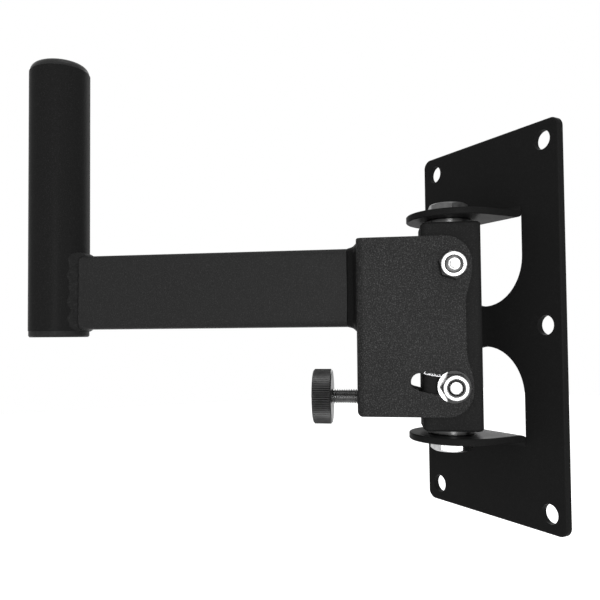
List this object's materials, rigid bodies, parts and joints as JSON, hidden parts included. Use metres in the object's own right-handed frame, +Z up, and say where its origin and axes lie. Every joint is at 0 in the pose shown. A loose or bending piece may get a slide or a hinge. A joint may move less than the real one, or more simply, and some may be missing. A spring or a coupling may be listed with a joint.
{
  "type": "speaker wall bracket",
  "caption": "Wall bracket with a swivelling and tilting arm that ends in an upright pole for a loudspeaker.",
  "frame": {"origin": "middle of the wall plate's back face", "axes": "+Y into the wall, +Z up, +X to the right seen from the room"},
  "size_m": [0.2007, 0.2276, 0.2615],
  "materials": {
    "coat_plate": "fine textured powder coat",
    "coat_post": "fine textured powder coat",
    "coat_yoke": "fine textured powder coat",
    "coat_arm": "fine textured powder coat",
    "coat_pole": "fine textured powder coat",
    "coat_weld": "powder coat over weld metal",
    "steel_plain": "plain steel",
    "zinc_bright": "bright zinc plating",
    "zinc_bolt": "zinc plating",
    "zinc_nut": "zinc plating",
    "nylon_ring": "moulded nylon",
    "screw_steel": "zinc plated thread",
    "screw_knob": "dark zinc, knurled",
    "cap_black": "satin moulded",
    "cap_grey": "satin moulded"
  },
  "bodies": {
    "wall": {"wall_plate": "coat_plate"},
    "swivel": {"swivel_post": "coat_post", "post_end_upper": "steel_plain", "post_end_lower": "steel_plain", "swivel_washer_upper": "zinc_bright", "swivel_washer_lower": "zinc_bright", "swivel_bolt_upper": "zinc_bolt", "swivel_bolt_lower": "zinc_bolt", "tilt_bolt_upper": "zinc_bolt", "tilt_bolt_lower": "zinc_bolt", "tilt_nut_upper": "zinc_nut", "nut_ring_upper": "nylon_ring", "tilt_nut_lower": "zinc_nut", "nut_ring_lower": "nylon_ring", "tilt_washer_lower": "zinc_bright"},
    "tilt": {"tilt_yoke": "coat_yoke", "yoke_weld_nut": "steel_plain", "arm_tube": "coat_arm", "pole_tube": "coat_pole", "pole_top_cap": "cap_black", "pole_bottom_cap": "cap_grey", "yoke_weld": "coat_weld", "pole_weld": "coat_weld"},
    "screw": {"thumbscrew_stud": "screw_steel"},
    "knob": {"thumbscrew_knob": "screw_knob"}
  },
  "joints": [
    {"name": "swivel", "type": "hinge", "parent": "wall", "child": "swivel", "pos_m": [0, -0.03, 0], "axis": [0, 0, 1], "range_deg": [-53.5, 126.5]},
    {"name": "tilt", "type": "hinge", "parent": "swivel", "child": "tilt", "pos_m": [0, -0.03, 0.031], "axis": [0.8039, -0.5948, 0], "range_deg": [0, 16]},
    {"name": "screw_travel", "type": "slide", "parent": "tilt", "child": "screw", "axis": [-0.5948, -0.8039, 0], "range_m": [0, 0.02067]},
    {"name": "screw_turn", "type": "hinge", "parent": "screw", "child": "knob", "pos_m": [-0.04045, -0.08466, -0.0377], "axis": [-0.5948, -0.8039, 0], "range_deg": [0, 5929]}
  ],
  "couplings": [
    {"joint": "screw_travel", "follows": "tilt", "m_per_rad": 0.07366},
    {"joint": "screw_turn", "follows": "tilt", "ratio": 370.26}
  ]
}
